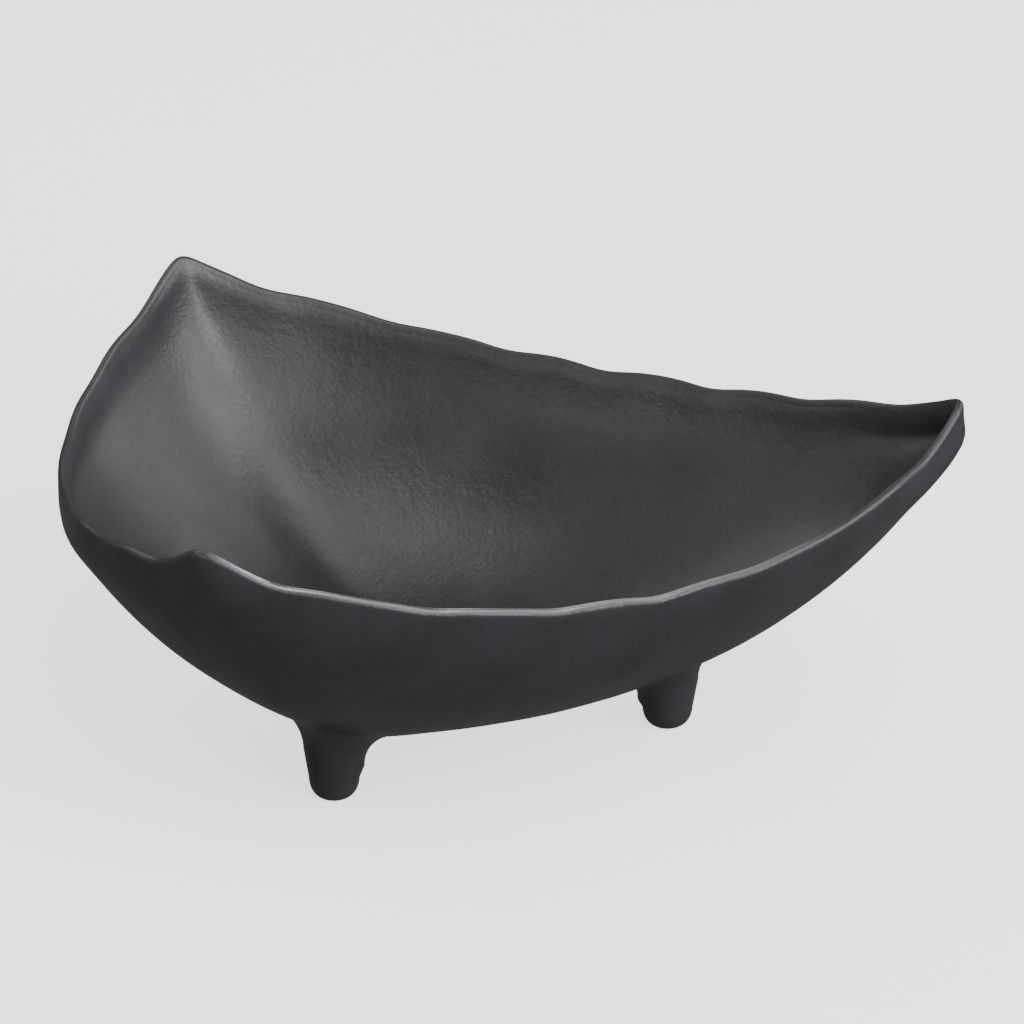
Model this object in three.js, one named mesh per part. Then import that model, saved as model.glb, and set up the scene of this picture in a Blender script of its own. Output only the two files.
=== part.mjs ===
// Three-cornered serving bowl on stub feet: a thin cast shell like a folded leaf, with a hand-pinched rim.
// Millimetres, +Z up. +X points along the bowl to its single long tip, and z = 0 is the table top.
// The shell and the three feet are separate closed solids, with a fine gap where each foot meets the shell.

import * as THREE from 'three';

// ---- Driving dimensions -------------------------------------------------------------------------------

// Crest of the rim at its three corners. The front corner mirrors the back one across the XZ plane.
const tip = new THREE.Vector3(149.6, 0, 119.7);
const backCorner = new THREE.Vector3(-105.0, 99.6, 132.9);
const frontCorner = new THREE.Vector3(backCorner.x, -backCorner.y, backCorner.z);

// How far each side swells outwards and sags between its corners: at its middle, more towards its second
// corner (lean), and more towards both corners (square).
const longSide = {
  bulge: { middle: 30.3, lean: 3.2, square: 7.5 },
  sag: { middle: 29.2, lean: 2.7, square: 7.4 },
};
const shortSide = {
  bulge: { middle: 42.3, lean: 1.4, square: 2.0 },
  sag: { middle: 25.6, lean: 1.1, square: 1.7 },
};

// Pinches along each side: how far along the side, from 0 to 1, and how deep. A negative one is a rise.
const backPinches = [
  [0.095, 1.5], [0.25, 0.9], [0.395, 1.2], [0.52, 1.5], [0.66, 1.6], [0.785, 1.1], [0.91, 1.0],
];
const frontPinches = [[0.08, 2.4], [0.25, 1.0], [0.40, 1.5], [0.53, 2.3], [0.66, 1.0], [0.93, 3.8]];
const shortPinches = [[0.10, 1.7], [0.24, 0.8], [0.38, 0.7], [0.55, 0.9], [0.71, -2.1], [0.92, 3.3]];
const pinchHalfWidth = 9.5;
const pinchInwardShare = 0.5;
const cornerPeak = { rise: 1.3, halfWidth: 8 };

// Outer face of the shell.
const bottomCentre = new THREE.Vector3(-14.1, 0, 12.95);
const reachPower = 1.107;
const risePower = 1.32;
const rimShapeFade = 1.11;
const fullness = { tip: 0.096, corner: 0.148, shortSide: 0.163 };
const fullnessWidth = { tip: 0.1, corner: 0.06, shortSide: 0.08 };
// Stretches just below the lip that stand fuller than the rest: the prow under the tip, and the short side.
const prow = { swell: 4.3, level: 0.878, halfHeight: 0.06, width: 0.043 };
const breast = { swell: 2.15, level: 0.868, halfHeight: 0.07, width: 0.098 };

// Softening of the rim outline, at the rim and at the bottom of the shell.
const rimSoftening = 0.0002;
const bottomSoftening = 0.053;
const softeningPower = 2.2;

// Wall and lip. The lip's outer edge is a tight quarter round, and its inner face rolls over slowly.
const wall = 4.5;
const lipOuter = { inset: 2.0, drop: 2.5 };
const lipInnerDrop = 9;
const wallTurnSoftening = 0.002;

// Feet: where each one stands, and the shape that all three share.
const footPlaces = {
  foot_front: new THREE.Vector2(-62.0, -35.2),
  foot_back: new THREE.Vector2(-62.0, 35.2),
  foot_tip: new THREE.Vector2(53.2, 0),
};
const foot = { flatRadius: 4.6, toeRadius: 8.5, toeHeight: 6.5, neckRadius: 10.2, neckHang: 13, flare: 10 };
const footGap = 0.35;
const footEdge = 0.3;

// Fineness of the mesh.
const outlineSamples = 720;
const harmonicCount = 120;
const longSideColumns = 44;
const shortSideColumns = 34;
const shellLevels = [0.08, 0.16, 0.23, 0.3, 0.36, 0.42, 0.48, 0.54, 0.61, 0.69, 0.77, 0.84, 0.9, 0.95];
const lipSteps = 3;
const footColumns = 32;
const flareSteps = 5;
const toeSteps = 4;

// ---- Small helpers ------------------------------------------------------------------------------------

const up = new THREE.Vector3(0, 0, 1);
const quarterTurn = Math.PI / 2;

function steps(count) {
  return Array.from({ length: count + 1 }, (_, i) => i / count);
}

function bell(distance, halfWidth) {
  return Math.exp(-((distance / halfWidth) ** 2));
}

// ---- Rim outline --------------------------------------------------------------------------------------

// A point of one side, from 0 at its first corner to 1 at its second.
function sidePoint(side, along) {
  const fromMiddle = 2 * along - 1;
  const curved = ({ middle, lean, square }) => (
    4 * along * (1 - along) * (middle + lean * fromMiddle + square * fromMiddle ** 2)
  );
  const pinch = side.pinches.reduce(
    (depth, [place, deep]) => depth + deep * bell((along - place) * side.length, pinchHalfWidth),
    0,
  );
  const cornerDistance = Math.min(along, 1 - along) * side.length;
  const peak = cornerPeak.rise * bell(cornerDistance, cornerPeak.halfWidth);
  return side.from.clone()
    .lerp(side.to, along)
    .addScaledVector(side.outward, curved(side.shape.bulge) - pinch * pinchInwardShare)
    .addScaledVector(up, peak - curved(side.shape.sag) - pinch);
}

function makeSide(from, to, shape, pinches, outwardSign) {
  const chord = to.clone().sub(from);
  const outward = new THREE.Vector3(-chord.y, chord.x, 0).normalize().multiplyScalar(outwardSign);
  return { from, to, shape, pinches, outward, length: chord.length() };
}

// The whole rim as one closed run of points: along the back to the tip, back along the front, and across.
function rimRun() {
  const back = makeSide(backCorner, tip, longSide, backPinches, 1);
  const front = makeSide(frontCorner, tip, longSide, frontPinches, -1);
  const short = makeSide(backCorner, frontCorner, shortSide, shortPinches, -1);
  const pointsOf = (side) => steps(outlineSamples / 3).slice(0, -1).map((along) => sidePoint(side, along));
  const reversedPointsOf = (side) => (
    steps(outlineSamples / 3).slice(0, -1).map((along) => sidePoint(side, 1 - along))
  );
  return [...pointsOf(back), ...reversedPointsOf(front), ...reversedPointsOf(short)];
}

// The same closed run with its points evenly spaced, and where the tip and the front corner fall on it.
function evenlySpaced(run) {
  const travelled = [0];
  run.forEach((point, i) => {
    travelled.push(travelled[i] + point.distanceTo(run[(i + 1) % run.length]));
  });
  const total = travelled[run.length];
  let before = 0;
  const points = run.map((_, i) => {
    const wanted = (i / run.length) * total;
    while (travelled[before + 1] < wanted) before += 1;
    const share = (wanted - travelled[before]) / (travelled[before + 1] - travelled[before]);
    return run[before].clone().lerp(run[(before + 1) % run.length], share);
  });
  const third = run.length / 3;
  return { points, tipTurn: travelled[third] / total, frontCornerTurn: travelled[2 * third] / total };
}

// A closed run as a sum of harmonics. Softening fades the nth harmonic by exp(-n² softening).
function harmonicsOf(points, count) {
  return Array.from({ length: count + 1 }, (_, n) => {
    const cosine = new THREE.Vector3();
    const sine = new THREE.Vector3();
    points.forEach((point, i) => {
      const angle = (2 * Math.PI * n * i) / points.length;
      cosine.addScaledVector(point, Math.cos(angle));
      sine.addScaledVector(point, Math.sin(angle));
    });
    const weight = (n === 0 ? 1 : 2) / points.length;
    return { cosine: cosine.multiplyScalar(weight), sine: sine.multiplyScalar(weight) };
  });
}

function softenedPoint(harmonics, turn, softening) {
  const point = new THREE.Vector3();
  harmonics.forEach(({ cosine, sine }, n) => {
    const fade = Math.exp(-n * n * softening);
    const angle = 2 * Math.PI * n * turn;
    point.addScaledVector(cosine, fade * Math.cos(angle));
    point.addScaledVector(sine, fade * Math.sin(angle));
  });
  return point;
}

// ---- Outer face of the shell --------------------------------------------------------------------------

const rim = evenlySpaced(rimRun());
const turnOf = { backCorner: 0, tip: rim.tipTurn, frontCorner: rim.frontCornerTurn };
const shortSideTurn = (rim.frontCornerTurn + 1) / 2;

// Outermost line of the lip: the crest, moved outwards and down.
function lipLine(points) {
  const directions = points.map((_, i) => {
    const next = points[(i + 1) % points.length];
    const last = points[(i + points.length - 1) % points.length];
    return new THREE.Vector3(last.y - next.y, next.x - last.x, 0).normalize();
  });
  const softDirections = harmonicsOf(directions, harmonicCount);
  return points.map((point, i) => {
    const outward = softenedPoint(softDirections, i / points.length, 2 * rimSoftening).normalize();
    return point.clone().addScaledVector(outward, lipOuter.inset).addScaledVector(up, -lipOuter.drop);
  });
}

const lipHarmonics = harmonicsOf(lipLine(rim.points), harmonicCount);
const meanLipHeight = lipHarmonics[0].cosine.z;

function nearTurn(turn, place, width) {
  const apart = Math.abs(turn - place) % 1;
  return bell(Math.min(apart, 1 - apart), width);
}

// A point of the outer face. Level 0 is the bottom centre, and level 1 is the outermost line of the lip.
function outerPoint(turn, level) {
  const softening = rimSoftening + bottomSoftening * (1 - level) ** softeningPower;
  const outline = softenedPoint(lipHarmonics, turn, softening);
  const power = reachPower
    - fullness.tip * nearTurn(turn, turnOf.tip, fullnessWidth.tip)
    - fullness.corner * nearTurn(turn, turnOf.backCorner, fullnessWidth.corner)
    - fullness.corner * nearTurn(turn, turnOf.frontCorner, fullnessWidth.corner)
    - fullness.shortSide * nearTurn(turn, shortSideTurn, fullnessWidth.shortSide);
  const reach = Math.sin(quarterTurn * level) ** power;
  const rise = 1 - Math.max(0, Math.cos(quarterTurn * level)) ** risePower;
  const swellOf = ({ swell, level: middle, halfHeight, width }, place) => (
    swell * nearTurn(turn, place, width) * bell(level - middle, halfHeight)
  );
  const x = bottomCentre.x + reach * (outline.x - bottomCentre.x);
  const evenHeight = bottomCentre.z + rise * (meanLipHeight - bottomCentre.z);
  return new THREE.Vector3(
    x + swellOf(prow, turnOf.tip) - swellOf(breast, shortSideTurn),
    reach * outline.y,
    evenHeight + rise ** rimShapeFade * (outline.z - meanLipHeight),
  );
}

// ---- Inner face and lip -------------------------------------------------------------------------------

// Directions out of the outer face all round one level, softened so that corners share one direction.
// They shorten where the face turns sharply, and the wall is measured along them with that allowed for.
function outwardAt(level) {
  const nudge = 0.002;
  const lower = Math.min(level, 1 - nudge) - nudge;
  const directions = steps(outlineSamples / 3).slice(0, -1).map((turn) => {
    const around = outerPoint(turn + nudge, level).sub(outerPoint(turn - nudge, level));
    const upwards = outerPoint(turn, lower + 2 * nudge).sub(outerPoint(turn, lower));
    return upwards.cross(around).normalize();
  });
  const harmonics = harmonicsOf(directions, harmonicCount / 2);
  return (turn) => softenedPoint(harmonics, turn, wallTurnSoftening);
}

function movedInwards(point, outward, thickness) {
  const extra = (thickness - lipOuter.inset) / outward.length();
  return point.clone().addScaledVector(outward.clone().normalize(), -lipOuter.inset - extra);
}

// Thickness of the wall at a drop below the crest: it grows from the crest as an elliptical roll.
function thicknessAt(drop) {
  const unrolled = Math.max(0, 1 - drop / lipInnerDrop);
  return lipOuter.inset + (wall - lipOuter.inset) * Math.sqrt(1 - unrolled ** 2);
}

// Rings of the lip, from its outermost line over the crest to the inside.
function lipRings(turns) {
  const outwardOf = outwardAt(1);
  const outerEdge = turns.map((turn) => outerPoint(turn, 1));
  const outwards = turns.map((turn) => outwardOf(turn).setZ(0));
  const overCrest = steps(lipSteps).slice(1).map((share) => {
    const inset = lipOuter.inset * (1 - Math.cos(quarterTurn * share));
    const climb = lipOuter.drop * Math.sin(quarterTurn * share);
    return outerEdge.map((point, i) => (
      point.clone().addScaledVector(outwards[i].clone().normalize(), -inset).addScaledVector(up, climb)
    ));
  });
  const insideDrops = [0.08, 0.35, 1].map((share) => share * lipOuter.drop);
  const inside = insideDrops.map((drop) => outerEdge.map((point, i) => (
    movedInwards(point, outwards[i], thicknessAt(drop)).addScaledVector(up, lipOuter.drop - drop)
  )));
  return [outerEdge, ...overCrest, ...inside];
}

function innerRing(turns, level) {
  const outwardOf = outwardAt(level);
  return turns.map((turn) => {
    const point = outerPoint(turn, level);
    const drop = outerPoint(turn, 1).z + lipOuter.drop - point.z;
    return movedInwards(point, outwardOf(turn), thicknessAt(drop));
  });
}

// ---- Closed skins -------------------------------------------------------------------------------------

// One closed body from rings of equal length between two end points. Rings run anticlockwise as seen
// from the last end point back to the first.
function closedSkin(firstEnd, rings, lastEnd) {
  const columns = rings[0].length;
  const points = [firstEnd, ...rings.flat(), lastEnd];
  const at = (ring, column) => 1 + ring * columns + (column % columns);
  const triangles = [];
  for (let column = 0; column < columns; column += 1) {
    triangles.push(0, at(0, column + 1), at(0, column));
    for (let ring = 0; ring < rings.length - 1; ring += 1) {
      triangles.push(at(ring, column), at(ring, column + 1), at(ring + 1, column + 1));
      triangles.push(at(ring, column), at(ring + 1, column + 1), at(ring + 1, column));
    }
    triangles.push(at(rings.length - 1, column), at(rings.length - 1, column + 1), points.length - 1);
  }
  const geometry = new THREE.BufferGeometry().setFromPoints(points);
  geometry.setIndex(triangles);
  geometry.computeVertexNormals();
  return geometry;
}

// Turns of the shell's columns, anticlockwise from above, with a column on each corner.
function columnTurns() {
  const stretch = (from, to, count) => steps(count).slice(0, -1).map((share) => from + share * (to - from));
  const clockwise = [
    ...stretch(0, turnOf.tip, longSideColumns),
    ...stretch(turnOf.tip, turnOf.frontCorner, longSideColumns),
    ...stretch(turnOf.frontCorner, 1, shortSideColumns),
  ];
  return clockwise.reverse();
}

function makeShellGeometry() {
  const turns = columnTurns();
  const outer = shellLevels.map((level) => turns.map((turn) => outerPoint(turn, level)));
  const inner = [...shellLevels].reverse().map((level) => innerRing(turns, level));
  const innerBottom = bottomCentre.clone().addScaledVector(up, wall);
  return closedSkin(bottomCentre, [...outer, ...lipRings(turns), ...inner], innerBottom);
}

// ---- Feet ---------------------------------------------------------------------------------------------

// Height of the shell's outer face above a point of the table.
function undersideFinder(shell) {
  const caster = new THREE.Raycaster();
  return (x, y) => {
    caster.set(new THREE.Vector3(x, y, -1), up);
    return caster.intersectObject(shell)[0].point.z;
  };
}

// A foot is a round stub whose neck flares out in a fillet until it lies along the underside of the shell.
function makeFootGeometry(place, undersideAt) {
  const ring = (radius, heightAt) => steps(footColumns).slice(0, -1).map((share) => {
    const x = place.x + radius * Math.cos(2 * Math.PI * share);
    const y = place.y + radius * Math.sin(2 * Math.PI * share);
    return new THREE.Vector3(x, y, heightAt(x, y));
  });
  const topAt = (x, y) => undersideAt(x, y) - footGap;
  const toe = steps(toeSteps).map((share) => {
    const radius = foot.flatRadius + (foot.toeRadius - foot.flatRadius) * Math.sin(quarterTurn * share);
    return ring(radius, () => foot.toeHeight * (1 - Math.cos(quarterTurn * share)));
  });
  const flare = steps(flareSteps).map((share) => {
    const radius = foot.neckRadius + foot.flare * (1 - Math.cos(quarterTurn * share));
    const hang = footEdge + foot.neckHang * (1 - Math.sin(quarterTurn * share));
    return ring(radius, (x, y) => topAt(x, y) - hang);
  });
  const topRadius = foot.neckRadius + foot.flare;
  const top = [1, 0.75, 0.5, 0.25].map((share) => ring(topRadius * share, topAt));
  const sole = new THREE.Vector3(place.x, place.y, 0);
  const crown = new THREE.Vector3(place.x, place.y, topAt(place.x, place.y));
  return closedSkin(sole, [...toe, ...flare, ...top], crown);
}

// ---- Assembly -----------------------------------------------------------------------------------------

function satinCoating() {
  return new THREE.MeshStandardMaterial({ color: 0x2b2e31, roughness: 0.42, metalness: 0.15 });
}

function named(name, geometry) {
  const mesh = new THREE.Mesh(geometry, satinCoating());
  mesh.name = name;
  return mesh;
}

const bowl = new THREE.Group();
const shell = named('bowl_shell', makeShellGeometry());
bowl.add(shell);

const undersideAt = undersideFinder(shell);
Object.entries(footPlaces).forEach(([name, place]) => {
  bowl.add(named(name, makeFootGeometry(place, undersideAt)));
});

export default bowl;
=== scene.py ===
"""Looks of the three-cornered footed serving bowl: fine skins, finish, light and camera.

The shell and feet are drawn again here from the same driving dimensions as the CAD part, many times
finer and with the small unevenness of a hand-finished casting, and each skin replaces its CAD node.
Drawn numbers are millimetres, and the frame's own shell says how long a drawn millimetre is.
"""

import math

import bpy
import numpy as np
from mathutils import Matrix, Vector, noise
from mathutils.bvhtree import BVHTree


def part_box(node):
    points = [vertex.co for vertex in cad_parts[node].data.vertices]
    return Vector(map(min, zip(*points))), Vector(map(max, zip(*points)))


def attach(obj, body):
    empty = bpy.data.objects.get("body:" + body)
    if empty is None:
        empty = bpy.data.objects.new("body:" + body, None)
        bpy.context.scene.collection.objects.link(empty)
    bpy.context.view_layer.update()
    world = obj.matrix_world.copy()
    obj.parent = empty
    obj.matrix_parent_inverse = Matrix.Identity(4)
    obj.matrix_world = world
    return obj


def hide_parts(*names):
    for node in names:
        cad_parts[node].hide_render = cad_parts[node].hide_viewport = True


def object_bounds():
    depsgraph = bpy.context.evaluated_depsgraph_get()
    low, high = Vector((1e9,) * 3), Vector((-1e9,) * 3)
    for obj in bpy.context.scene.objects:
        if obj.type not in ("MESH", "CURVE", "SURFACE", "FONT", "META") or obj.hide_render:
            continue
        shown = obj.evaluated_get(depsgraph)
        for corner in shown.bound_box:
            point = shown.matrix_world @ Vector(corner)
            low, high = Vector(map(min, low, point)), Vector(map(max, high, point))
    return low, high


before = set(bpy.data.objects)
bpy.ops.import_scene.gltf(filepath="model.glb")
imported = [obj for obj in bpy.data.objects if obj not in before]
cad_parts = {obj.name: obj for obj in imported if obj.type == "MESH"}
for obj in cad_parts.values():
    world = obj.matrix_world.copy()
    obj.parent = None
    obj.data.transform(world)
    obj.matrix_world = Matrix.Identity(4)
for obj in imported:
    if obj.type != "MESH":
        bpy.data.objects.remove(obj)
cad_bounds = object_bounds()

# ---- Shape, in drawn millimetres -------------------------------------------------------------------

TIP = np.array([149.6, 0.0, 119.7])
BACK_CORNER = np.array([-105.0, 99.6, 132.9])
FRONT_CORNER = BACK_CORNER * [1, -1, 1]

# Each side's swell and sag: at its middle, more towards its second corner, more towards both corners.
LONG_SIDE = {"bulge": (30.3, 3.2, 7.5), "sag": (29.2, 2.7, 7.4)}
SHORT_SIDE = {"bulge": (42.3, 1.4, 2.0), "sag": (25.6, 1.1, 1.7)}

# Pinches: how far along the side, and how deep. A negative one is a rise.
BACK_PINCHES = [
    (0.095, 1.5), (0.25, 0.9), (0.395, 1.2), (0.52, 1.5), (0.66, 1.6), (0.785, 1.1), (0.91, 1.0),
]
FRONT_PINCHES = [(0.08, 2.4), (0.25, 1.0), (0.40, 1.5), (0.53, 2.3), (0.66, 1.0), (0.93, 3.8)]
SHORT_PINCHES = [(0.10, 1.7), (0.24, 0.8), (0.38, 0.7), (0.55, 0.9), (0.71, -2.1), (0.92, 3.3)]
PINCH_HALF_WIDTH = 9.5
PINCH_INWARD_SHARE = 0.5
CORNER_PEAK = {"rise": 1.3, "half_width": 8.0}

BOTTOM_CENTRE = np.array([-14.1, 0.0, 12.95])
REACH_POWER = 1.107
RISE_POWER = 1.32
RIM_SHAPE_FADE = 1.11

# Where the shell is fuller than elsewhere: how much, and how far round it reaches.
FULLNESS = {
    "tip": (0.096, 0.1),
    "back_corner": (0.148, 0.06),
    "front_corner": (0.148, 0.06),
    "short_side": (0.163, 0.08),
}
PROW = {"swell": 4.3, "level": 0.878, "half_height": 0.06, "width": 0.043}
BREAST = {"swell": 2.15, "level": 0.868, "half_height": 0.07, "width": 0.098}

# How much the outline's corners are rounded at the rim and at the bottom, and how late that sets in.
RIM_SOFTENING = 0.0002
BOTTOM_SOFTENING = 0.053
SOFTENING_POWER = 2.2

WALL = 4.5
LIP_INSET = 2.0
LIP_DROP = 2.5
LIP_INNER_DROP = 15.0
LIP_BEAD = {"swell": 0.15, "drop": 6.0, "half_height": 3.5}
WALL_TURN_SOFTENING = 0.0012

# A foot's radii at its flat, toe and neck, its toe's height, how far its neck hangs below the shell, how
# far it flares out, how far the flare sinks into the wall, and how far inside the wall it is closed.
FOOT = {
    "flat": 4.6,
    "toe": 8.5,
    "neck": 10.2,
    "toe_height": 6.5,
    "hang": 13.0,
    "flare": 10.0,
    "sink": 0.15,
    "crown": 1.0,
}

# ---- Finish: lengths in drawn millimetres, colours linear --------------------------------------------

# Unevenness of the casting, coarse and fine: wavelength and depth. A seed picks where the noise is read.
BROAD_WAVES = [(46.0, 0.30), (19.0, 0.10)]
BROAD_SEED = 7.3
ROUGH_WAVES = [(7.5, 0.05), (4.2, 0.03)]
ROUGH_SEED = 2.9

# The skin is least rough where it faces along the bowl or down, and fully rough where it faces both
# sideways and up. All unevenness fades out over a small height above the table, so that soles are flat.
ROUGH_SKIN = {"least": 0.3, "sideways": (0.35, 0.75), "upwards": (-0.3, 0.2)}
SOLE_FADE_HEIGHT = 4.0

# The front rim's crest gets a painted highlight of bright metal colour: how far below the crest, how softly
# it ends, how far it stops short of the front corner as a share of the way round, and how much of it there
# is from the tip to that corner, where under 0 is none and over 1 is full metal colour.
RIM_HIGHLIGHT = {"depth": 0.5, "end_softening": 0.0005, "short_of_corner": 0.01, "at_tip": -0.6, "at_corner": 1.8}
# How much less rough the painted highlight makes the crest.
RIM_HIGHLIGHT_POLISH = 0.12

# The coating is patches of two tones with faint specks; this metal colour is the rim's painted highlight.
DARK_PATCH_COLOUR = (0.027, 0.0285, 0.031, 1)
LIGHT_PATCH_COLOUR = (0.037, 0.039, 0.043, 1)
SPECK_COLOUR = (0.046, 0.048, 0.052, 1)
HIGHLIGHT_METAL_COLOUR = (0.62, 0.63, 0.65, 1)

# Noise patterns: size, number of finer octaves, and which span of the noise each one uses.
PATCHES = {"size": 24.0, "detail": 3.0, "span": (0.35, 0.68)}
SPECKS = {"size": 1.3, "detail": 2.0, "span": (0.3, 0.72)}
SPECK_SHARE = 0.35
SATIN = {"size": 17.0, "detail": 4.0, "span": (0.3, 0.7)}
SATIN_ROUGHNESS = (0.29, 0.37)

# The peel is curled strokes with small pits, strongest on the rough skin. The grain is even everywhere.
STROKES = {"size": 2.6, "detail": 1.0, "curl": 1.6}
PITS = {"size": 2.4, "share": 0.5}
PEEL_DEPTH = 0.09
GRAIN = {"size": 0.9, "detail": 1.0, "depth": 0.025}

# ---- Stage: metres, degrees and watts ----------------------------------------------------------------

# The camera's distance and the width of its view are in lengths of the shell. It aims at the shell's
# middle, a little aside, at a share of its height.
CAMERA = {"azimuth": -4.81, "elevation": 30, "distance": 6, "view_width": 1.13}
CAMERA_AIM = {"aside": 0.0007, "height_share": 0.6336}

SOFTBOX_DISTANCE = 2.0
SOFTBOX_AIM_HEIGHT = 0.08

# Azimuth, elevation, width, height and power.
SOFTBOXES = {
    "front_right_strip": (40, 12, 0.6, 1.0, 17),
    "front_right_softbox": (38, 40, 1.0, 0.9, 7),
    "front_softbox": (14, 18, 1.0, 1.2, 9.5),
    "right_softbox": (70, 22, 1.1, 1.3, 20),
    "rear_right_softbox": (110, 22, 1.1, 1.3, 10),
    "top_right_softbox": (20, 64, 1.3, 1.1, 12),
    "top_left_softbox": (315, 62, 1.2, 1.0, 2),
    "rear_softbox": (185, 52, 1.6, 1.2, 4),
    "rear_left_softbox": (236, 46, 1.4, 1.4, 10),
    "left_softbox": (285, 30, 1.4, 1.4, 5),
    "front_left_softbox": (326, 12, 1.0, 0.9, 5),
}
WORLD_STRENGTH = 0.13
FLOOR = {"reach": 8.0, "roughness": 0.9, "glow": 1.5}
FLOOR_COLOUR = (0.9, 0.9, 0.9, 1)
WHITE = (1, 1, 1, 1)

# ---- Fineness of the skins ---------------------------------------------------------------------------

COLUMNS = 512
OUTER_LEVELS = 60
INNER_LEVELS = 96
CREST_STEPS = 9
INNER_LIP_STEPS = 7
FOOT_COLUMNS = 96
TOE_STEPS = 12
FLARE_STEPS = 24

QUARTER_TURN = math.pi / 2


# ---- Rim outline -------------------------------------------------------------------------------------

def bell(distance, half_width):
    return np.exp(-((distance / half_width) ** 2))


def unit(vectors):
    return vectors / np.linalg.norm(vectors, axis=1)[:, None]


def side_points(first, second, outward_sign, shape, pinches, along):
    """Points of the rim's crest from one corner to the next, at these shares of the way."""
    chord = second - first
    length = np.linalg.norm(chord)
    outward = np.array([-chord[1], chord[0], 0.0])
    outward *= outward_sign / np.linalg.norm(outward)
    from_middle = 2 * along - 1

    def curved(middle, lean, square):
        return 4 * along * (1 - along) * (middle + lean * from_middle + square * from_middle**2)

    pinch = sum(deep * bell((along - place) * length, PINCH_HALF_WIDTH) for place, deep in pinches)
    peak = CORNER_PEAK["rise"] * bell(np.minimum(along, 1 - along) * length, CORNER_PEAK["half_width"])
    points = first + along[:, None] * chord
    points += (curved(*shape["bulge"]) - pinch * PINCH_INWARD_SHARE)[:, None] * outward
    points[:, 2] += peak - curved(*shape["sag"]) - pinch
    return points


def rim_crest():
    """The rim's crest as evenly spaced points, clockwise from the back corner, and its named places.

    A place is a share of the way round, and that of the short side is its middle.
    """
    along = np.linspace(0, 1, COLUMNS, endpoint=False)
    run = np.concatenate([
        side_points(BACK_CORNER, TIP, 1, LONG_SIDE, BACK_PINCHES, along),
        side_points(FRONT_CORNER, TIP, -1, LONG_SIDE, FRONT_PINCHES, 1 - along),
        side_points(BACK_CORNER, FRONT_CORNER, -1, SHORT_SIDE, SHORT_PINCHES, 1 - along),
    ])
    closed = np.vstack([run, run[:1]])
    steps = np.linalg.norm(np.diff(closed, axis=0), axis=1)
    travelled = np.concatenate([[0], np.cumsum(steps)])
    wanted = np.linspace(0, travelled[-1], COLUMNS, endpoint=False)
    points = np.stack([np.interp(wanted, travelled, closed[:, axis]) for axis in range(3)], axis=1)
    tip, front_corner = travelled[[COLUMNS, 2 * COLUMNS]] / travelled[-1]
    short_side = (front_corner + 1) / 2
    places = {"back_corner": 0.0, "tip": tip, "front_corner": front_corner, "short_side": short_side}
    return points, places


def softened(points, amount):
    """A closed run of points with its nth harmonic faded by exp(-n² amount)."""
    spectrum = np.fft.rfft(points, axis=0)
    harmonic = np.arange(len(spectrum))
    return np.fft.irfft(spectrum * np.exp(-(harmonic**2) * amount)[:, None], n=len(points), axis=0)


def lip_line(crest_points):
    """The lip's outermost line: the crest moved outwards and down."""
    ahead = np.roll(crest_points, -1, axis=0) - np.roll(crest_points, 1, axis=0)
    outward = unit(np.stack([-ahead[:, 1], ahead[:, 0], np.zeros(COLUMNS)], axis=1))
    outward = unit(softened(outward, 2 * RIM_SOFTENING))
    return crest_points + LIP_INSET * outward - [0, 0, LIP_DROP]


crest, place_of = rim_crest()
lip = lip_line(crest)
mean_lip_height = lip[:, 2].mean()


# ---- Shell -------------------------------------------------------------------------------------------

def near_place(name, width):
    """For each column, how near it is to a place of the rim: 1 there, fading over this width."""
    apart = np.abs(np.arange(COLUMNS) / COLUMNS - place_of[name])
    return bell(np.minimum(apart, 1 - apart), width)


def swollen(swell, name, level):
    at_level = bell(level - swell["level"], swell["half_height"])
    return swell["swell"] * near_place(name, swell["width"]) * at_level


def outer_ring(level):
    """One ring of the outer face. Level 0 is the bottom centre and level 1 the lip's outermost line."""
    softening = RIM_SOFTENING + BOTTOM_SOFTENING * (1 - level) ** SOFTENING_POWER
    outline = softened(lip, softening)
    fuller = sum(amount * near_place(name, width) for name, (amount, width) in FULLNESS.items())
    reach = math.sin(QUARTER_TURN * level) ** (REACH_POWER - fuller)
    rise = 1 - max(0.0, math.cos(QUARTER_TURN * level)) ** RISE_POWER
    middle = np.array([BOTTOM_CENTRE[0], 0, mean_lip_height])
    shares = np.stack([reach, reach, np.full(COLUMNS, rise**RIM_SHAPE_FADE)], axis=1)
    ring = BOTTOM_CENTRE + (outline - middle) * shares
    ring[:, 0] += swollen(PROW, "tip", level) - swollen(BREAST, "short_side", level)
    ring[:, 2] += rise * (mean_lip_height - BOTTOM_CENTRE[2])
    return ring


def outward_of(level):
    """Directions out of the outer face round one level, shorter where the face turns sharply."""
    nudge = 0.002
    lower = min(level, 1 - nudge) - nudge
    ring = outer_ring(level)
    around = np.roll(ring, -1, axis=0) - np.roll(ring, 1, axis=0)
    upwards = outer_ring(lower + 2 * nudge) - outer_ring(lower)
    return softened(unit(np.cross(upwards, around)), WALL_TURN_SOFTENING)


def moved_inwards(ring, outward, thickness):
    """The ring moved in by the thickness. What that has past the lip's inset counts more at sharp turns."""
    length = np.linalg.norm(outward, axis=1)
    distance = LIP_INSET + (thickness - LIP_INSET) / length
    return ring - outward / length[:, None] * distance[:, None]


def thickness_at(drop):
    """Thickness of the wall at a drop below the crest: an elliptical roll to the full wall, and a bead."""
    unrolled = np.clip(1 - drop / LIP_INNER_DROP, 0, None)
    bead = LIP_BEAD["swell"] * bell(drop - LIP_BEAD["drop"], LIP_BEAD["half_height"])
    return LIP_INSET + (WALL - LIP_INSET) * np.sqrt(1 - unrolled**2) + bead


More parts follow.
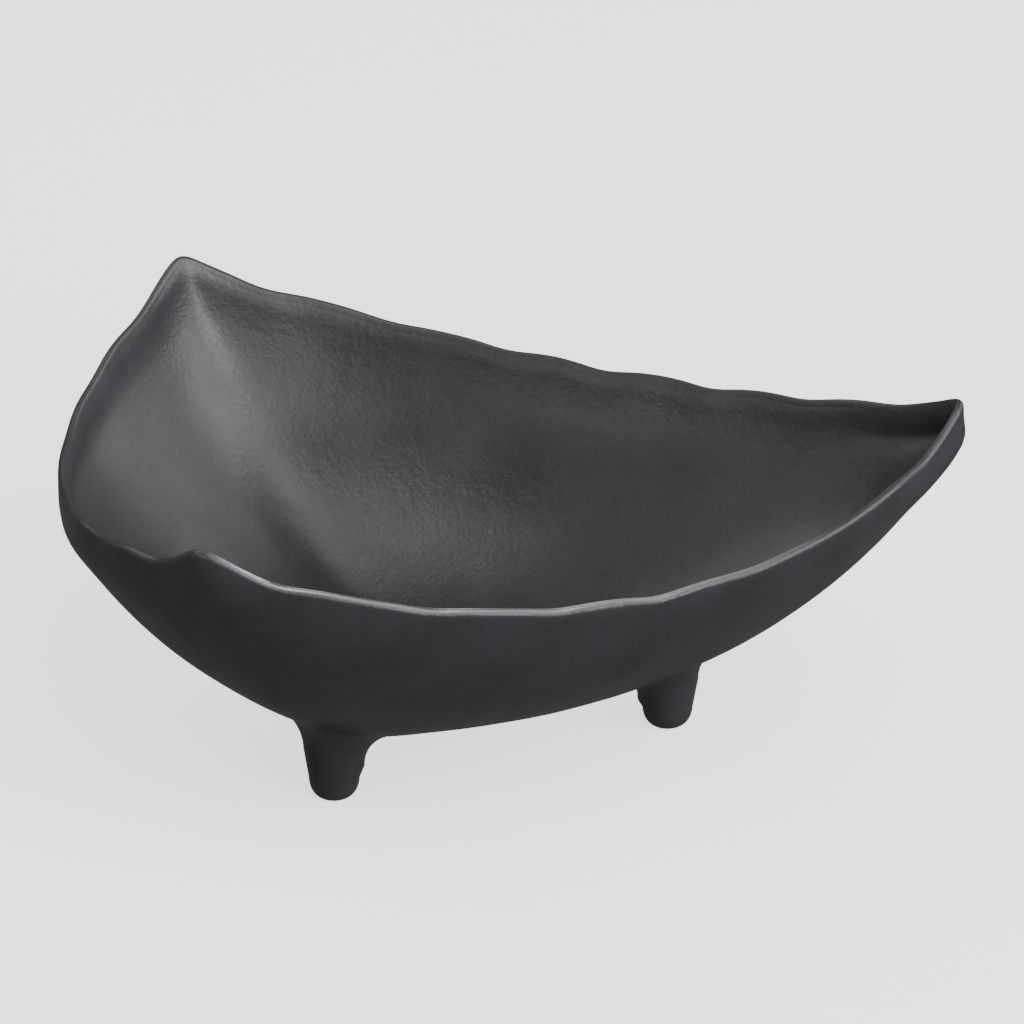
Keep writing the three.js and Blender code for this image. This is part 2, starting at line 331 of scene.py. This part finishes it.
def lip_rings():
    """Rings over the lip, from above its outermost line, over the crest, and down its inner face."""
    edge = outer_ring(1)
    outward = outward_of(1) * [1, 1, 0]
    rings = []
    for share in np.linspace(0, 1, CREST_STEPS + 1)[1:]:
        inset = LIP_INSET * (1 - math.cos(QUARTER_TURN * share))
        climb = LIP_DROP * math.sin(QUARTER_TURN * share)
        rings.append(edge - unit(outward) * inset + [0, 0, climb])
    for share in np.linspace(0, 1, INNER_LIP_STEPS + 1)[1:]:
        drop = LIP_DROP * share**2
        rings.append(moved_inwards(edge, outward, thickness_at(drop)) + [0, 0, LIP_DROP - drop])
    return rings


def inner_ring(level):
    ring = outer_ring(level)
    drop = outer_ring(1)[:, 2] + LIP_DROP - ring[:, 2]
    return moved_inwards(ring, outward_of(level), thickness_at(drop))


# ---- The frame's measures ----------------------------------------------------------------------------

# The shell is longest at a level near its rim.
shell_low, shell_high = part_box("bowl_shell")
near_rim = np.linspace(0.8, 1, 41)
drawn_length = np.ptp(np.vstack([outer_ring(level) for level in near_rim])[:, 0])
MM = (shell_high.x - shell_low.x) / drawn_length
foot_nodes = [name for name in sorted(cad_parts) if name.startswith("foot_")]


# ---- Skins -------------------------------------------------------------------------------------------

def make_skin(name, first_end, rings, last_end):
    """A closed mesh through the rings, which run clockwise as seen from the last end."""
    columns = len(rings[0])
    points = np.vstack([[first_end], *rings, [last_end]]) * MM
    column = np.arange(columns)
    after = (column + 1) % columns
    start = 1 + columns * np.arange(len(rings))[:, None]
    low_left, low_right = (start + column)[:-1], (start + after)[:-1]
    high_left, high_right = (start + column)[1:], (start + after)[1:]
    quads = np.stack([low_left, high_left, high_right, low_right], axis=-1).reshape(-1, 4)
    first_fan = [(0, 1 + a, 1 + b) for a, b in zip(column, after)]
    last_fan = [(start[-1, 0] + a, len(points) - 1, start[-1, 0] + b) for a, b in zip(column, after)]
    faces = [tuple(int(corner) for corner in face) for face in [*first_fan, *quads, *last_fan]]
    mesh = bpy.data.meshes.new(name)
    mesh.from_pydata(points.tolist(), [], faces)
    mesh.shade_smooth()
    piece = bpy.data.objects.new(name, mesh)
    bpy.context.scene.collection.objects.link(piece)
    return piece


def mark(mesh, name, values):
    """Keep one value for each point of the mesh, for the coating to read."""
    attribute = mesh.attributes.new(name, "FLOAT", "POINT")
    attribute.data.foreach_set("value", np.array(values, dtype=np.float32))


def between(value, low, high):
    """How far the value is from low to high, kept between 0 and 1."""
    return min(1.0, max(0.0, (value - low) / (high - low)))


def wave_height(place, waves, seed):
    shift = Vector((seed, -seed, seed))
    return sum(depth * noise.noise(Vector(place) / (length * MM) + shift) for length, depth in waves)


def rough_share(normal):
    """How rough a face turned this way was left: the insides of the long walls keep their rough skin."""
    sideways = between(abs(normal.y), *ROUGH_SKIN["sideways"])
    upwards = between(normal.z, *ROUGH_SKIN["upwards"])
    return ROUGH_SKIN["least"] + (1 - ROUGH_SKIN["least"]) * sideways * upwards


def hand_finish(piece):
    """Give a skin the casting's unevenness, fading out at the soles, and mark its rough places."""
    mesh = piece.data
    normals = [vertex.normal.copy() for vertex in mesh.vertices]
    roughness = [rough_share(normal) for normal in normals]
    for vertex, normal, rough in zip(mesh.vertices, normals, roughness):
        height = wave_height(vertex.co, BROAD_WAVES, BROAD_SEED)
        height += rough * wave_height(vertex.co, ROUGH_WAVES, ROUGH_SEED)
        height *= between(vertex.co.z / MM, 0.0, SOLE_FADE_HEIGHT)
        moved = vertex.co + normal * height * MM
        vertex.co = [min(max(value, least), most) for value, least, most in zip(moved, *cad_bounds)]
    mark(mesh, "cast_roughness", roughness)


def mark_painted_rim_highlight(mesh):
    """Mark the painted highlight of metal colour: along the front side's crest, less towards the tip."""
    highlight_end = place_of["front_corner"] - RIM_HIGHLIGHT["short_of_corner"]
    from_tip = (np.arange(COLUMNS) / COLUMNS - place_of["tip"]) / (highlight_end - place_of["tip"])
    strength = np.clip(RIM_HIGHLIGHT["at_tip"] + (RIM_HIGHLIGHT["at_corner"] - RIM_HIGHLIGHT["at_tip"]) * from_tip, 0, 1)
    on_front = (from_tip > 0) & (from_tip < 1)
    painted_highlight = softened((strength * on_front)[:, None], RIM_HIGHLIGHT["end_softening"])[:, 0]
    height = np.array([vertex.co.z for vertex in mesh.vertices])[1:-1] / MM
    ring_count = len(height) // COLUMNS
    below_crest = np.tile(crest[:, 2], ring_count) - height
    on_rings = np.tile(painted_highlight, ring_count) * bell(below_crest, RIM_HIGHLIGHT["depth"])
    mark(mesh, "painted_highlight", np.concatenate([[0], on_rings, [0]]))


def make_shell():
    outer = [outer_ring(level) for level in np.linspace(0, 1, OUTER_LEVELS + 1)[1:]]
    inner = [inner_ring(level) for level in np.linspace(1, 0, INNER_LEVELS + 1)[1:-1]]
    rings = [*outer, *lip_rings(), *inner]
    piece = make_skin("shell_skin", BOTTOM_CENTRE, rings, BOTTOM_CENTRE + [0, 0, WALL])
    # The front rim's crest is marked for a painted highlight of metal colour.
    mark_painted_rim_highlight(piece.data)
    return piece


def underside_finder(shell_piece):
    """A function that gives the height of the shell's outer face over a point of the table."""
    corners = [vertex.co for vertex in shell_piece.data.vertices]
    faces = [polygon.vertices for polygon in shell_piece.data.polygons]
    tree = BVHTree.FromPolygons(corners, faces)

    def height(x, y):
        hit = tree.ray_cast(Vector((x * MM, y * MM, -MM)), Vector((0, 0, 1)))
        return hit[0].z / MM

    return height


def make_foot(node, underside):
    """A stub whose neck flares out in a fillet that runs along the underside and just into the wall."""
    low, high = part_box(node)
    centre = (low + high) / 2 / MM
    angles = -2 * math.pi * np.arange(FOOT_COLUMNS) / FOOT_COLUMNS

    def ring(radius, height_at):
        x = centre.x + radius * np.cos(angles)
        y = centre.y + radius * np.sin(angles)
        return np.stack([x, y, [height_at(a, b) for a, b in zip(x, y)]], axis=1)

    rings = []
    for share in np.linspace(0, 1, TOE_STEPS + 1):
        radius = FOOT["flat"] + (FOOT["toe"] - FOOT["flat"]) * math.sin(QUARTER_TURN * share)
        height = FOOT["toe_height"] * (1 - math.cos(QUARTER_TURN * share))
        rings.append(ring(radius, lambda x, y: height))
    for share in np.linspace(0, 1, FLARE_STEPS + 1):
        radius = FOOT["neck"] + FOOT["flare"] * (1 - math.cos(QUARTER_TURN * share))
        hang = (FOOT["hang"] + FOOT["sink"]) * (1 - math.sin(QUARTER_TURN * share)) - FOOT["sink"]
        rings.append(ring(radius, lambda x, y: underside(x, y) - hang))
    sole = np.array([centre.x, centre.y, 0])
    crown = np.array([centre.x, centre.y, underside(centre.x, centre.y) + FOOT["crown"]])
    return make_skin(node + "_skin", sole, rings, crown)


# ---- Coating -----------------------------------------------------------------------------------------

class Nodes:
    """Short calls for building one material's node tree, with lengths in drawn millimetres."""

    def __init__(self, material):
        material.use_nodes = True
        self.tree = material.node_tree
        self.shader = self.tree.nodes["Principled BSDF"]
        self.place = self.tree.nodes.new("ShaderNodeTexCoord").outputs["Object"]

    def feed(self, socket, value):
        if isinstance(value, bpy.types.NodeSocket):
            self.tree.links.new(value, socket)
        else:
            socket.default_value = value

    def attribute(self, name):
        node = self.tree.nodes.new("ShaderNodeAttribute")
        node.attribute_name = name
        return node.outputs["Fac"]

    def texture(self, kind, size):
        node = self.tree.nodes.new(kind)
        self.feed(node.inputs["Vector"], self.place)
        node.inputs["Scale"].default_value = 1 / (size * MM)
        return node

    def noise(self, size, detail, curl=0.0):
        node = self.texture("ShaderNodeTexNoise", size)
        node.inputs["Detail"].default_value = detail
        node.inputs["Distortion"].default_value = curl
        return node.outputs["Fac"]

    def pits(self, size):
        return self.texture("ShaderNodeTexVoronoi", size).outputs["Distance"]

    def pattern(self, kind, low=0.0, high=1.0):
        """Noise of this kind with its span spread from low to high."""
        node = self.tree.nodes.new("ShaderNodeMapRange")
        self.feed(node.inputs["Value"], self.noise(kind["size"], kind["detail"]))
        span_low, span_high = kind["span"]
        node.inputs["From Min"].default_value = span_low
        node.inputs["From Max"].default_value = span_high
        node.inputs["To Min"].default_value = low
        node.inputs["To Max"].default_value = high
        return node.outputs["Result"]

    def math(self, operation, first, second):
        node = self.tree.nodes.new("ShaderNodeMath")
        node.operation = operation
        self.feed(node.inputs[0], first)
        self.feed(node.inputs[1], second)
        return node.outputs["Value"]

    def blend(self, share, first, second):
        node = self.tree.nodes.new("ShaderNodeMix")
        node.data_type = "RGBA"
        self.feed(node.inputs["Factor"], share)
        self.feed(node.inputs["A"], first)
        self.feed(node.inputs["B"], second)
        return node.outputs["Result"]

    def bump(self, height, depth, under=None):
        node = self.tree.nodes.new("ShaderNodeBump")
        node.inputs["Distance"].default_value = depth * MM
        self.feed(node.inputs["Height"], height)
        if under is not None:
            self.feed(node.inputs["Normal"], under)
        return node.outputs["Normal"]


def coating_colour(nodes, painted_highlight):
    """Dark patches and faint specks, with metal colour painted along the front rim as a highlight."""
    patched = nodes.blend(nodes.pattern(PATCHES), DARK_PATCH_COLOUR, LIGHT_PATCH_COLOUR)
    speck_share = nodes.math("MULTIPLY", nodes.pattern(SPECKS), SPECK_SHARE)
    specked = nodes.blend(speck_share, patched, SPECK_COLOUR)
    return nodes.blend(painted_highlight, specked, HIGHLIGHT_METAL_COLOUR)


def coating_roughness(nodes, painted_highlight):
    satin = nodes.pattern(SATIN, *SATIN_ROUGHNESS)
    return nodes.math("SUBTRACT", satin, nodes.math("MULTIPLY", painted_highlight, RIM_HIGHLIGHT_POLISH))


def coating_relief(nodes):
    """A peel of strokes and pits, strongest where the skin was left rough, under a fine grain."""
    strokes = nodes.noise(STROKES["size"], STROKES["detail"], STROKES["curl"])
    pits = nodes.math("MULTIPLY", nodes.pits(PITS["size"]), PITS["share"])
    peel = nodes.math("ADD", pits, strokes)
    rough_peel = nodes.math("MULTIPLY", peel, nodes.attribute("cast_roughness"))
    grain = nodes.noise(GRAIN["size"], GRAIN["detail"])
    return nodes.bump(grain, GRAIN["depth"], nodes.bump(rough_peel, PEEL_DEPTH))


def satin_coating():
    """Dark grey satin coating over cast metal, with a painted highlight of bright metal along the front
    rim.
    """
    material = bpy.data.materials.new("bowl_satin_coating")
    nodes = Nodes(material)
    painted_highlight = nodes.attribute("painted_highlight")
    nodes.feed(nodes.shader.inputs["Base Color"], coating_colour(nodes, painted_highlight))
    nodes.feed(nodes.shader.inputs["Metallic"], painted_highlight)
    nodes.feed(nodes.shader.inputs["Roughness"], coating_roughness(nodes, painted_highlight))
    nodes.feed(nodes.shader.inputs["Normal"], coating_relief(nodes))
    return material


# ---- Stage -------------------------------------------------------------------------------------------

def on_sphere(azimuth, elevation, distance):
    """A place round the bowl: azimuth 0 is in front of its long side, 90 beyond its tip."""
    turn, tilt = math.radians(azimuth), math.radians(elevation)
    flat = math.cos(tilt)
    direction = Vector((math.sin(turn) * flat, -math.cos(turn) * flat, math.sin(tilt)))
    return direction * distance


def aim(thing, place, target):
    thing.location = place
    thing.rotation_euler = (Vector(target) - Vector(place)).to_track_quat("-Z", "Y").to_euler()
    bpy.context.scene.collection.objects.link(thing)


def make_camera():
    """A long lens in front of the long side, looking down on the bowl, which spans most of the view."""
    length = shell_high.x - shell_low.x
    middle = (shell_low.x + shell_high.x) / 2
    target = Vector((middle - CAMERA_AIM["aside"], 0, CAMERA_AIM["height_share"] * shell_high.z))
    distance = CAMERA["distance"] * length
    camera = bpy.data.objects.new("camera", bpy.data.cameras.new("camera"))
    camera.data.lens = camera.data.sensor_width * distance / (CAMERA["view_width"] * length)
    aim(camera, target + on_sphere(CAMERA["azimuth"], CAMERA["elevation"], distance), target)
    bpy.context.scene.camera = camera


def make_softbox(name, azimuth, elevation, width, height, power):
    light = bpy.data.objects.new(name, bpy.data.lights.new(name, "AREA"))
    light.data.shape = "RECTANGLE"
    light.data.size = width
    light.data.size_y = height
    light.data.energy = power
    middle = Vector((0, 0, SOFTBOX_AIM_HEIGHT))
    aim(light, middle + on_sphere(azimuth, elevation, SOFTBOX_DISTANCE), middle)


def make_floor():
    """A white, glowing sweep. It throws no light up at the bowl, so the outer face stays dark."""
    reach = FLOOR["reach"]
    mesh = bpy.data.meshes.new("floor")
    corners = [(-reach, -reach, 0), (reach, -reach, 0), (reach, reach, 0), (-reach, reach, 0)]
    mesh.from_pydata(corners, [], [(0, 1, 2, 3)])
    floor = bpy.data.objects.new("floor", mesh)
    bpy.context.scene.collection.objects.link(floor)
    paint = bpy.data.materials.new("floor_paint")
    paint.use_nodes = True
    shader = paint.node_tree.nodes["Principled BSDF"]
    shader.inputs["Base Color"].default_value = FLOOR_COLOUR
    shader.inputs["Roughness"].default_value = FLOOR["roughness"]
    shader.inputs["Emission Color"].default_value = WHITE
    shader.inputs["Emission Strength"].default_value = FLOOR["glow"]
    mesh.materials.append(paint)
    floor.visible_diffuse = False
    floor.visible_glossy = False


def make_world():
    world = bpy.data.worlds.new("studio")
    world.use_nodes = True
    background = world.node_tree.nodes["Background"]
    background.inputs["Color"].default_value = WHITE
    background.inputs["Strength"].default_value = WORLD_STRENGTH
    bpy.context.scene.world = world


# ---- Assembly ----------------------------------------------------------------------------------------

make_camera()
make_floor()
make_world()
for box_name, measures in SOFTBOXES.items():
    make_softbox(box_name, *measures)

shell = make_shell()
underside_at = underside_finder(shell)
pieces = {"bowl_shell": shell}
for node in foot_nodes:
    pieces[node] = make_foot(node, underside_at)

coating = satin_coating()
for node, piece in pieces.items():
    hand_finish(piece)
    piece.data.materials.append(coating)
    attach(piece, "root")
    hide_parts(node)
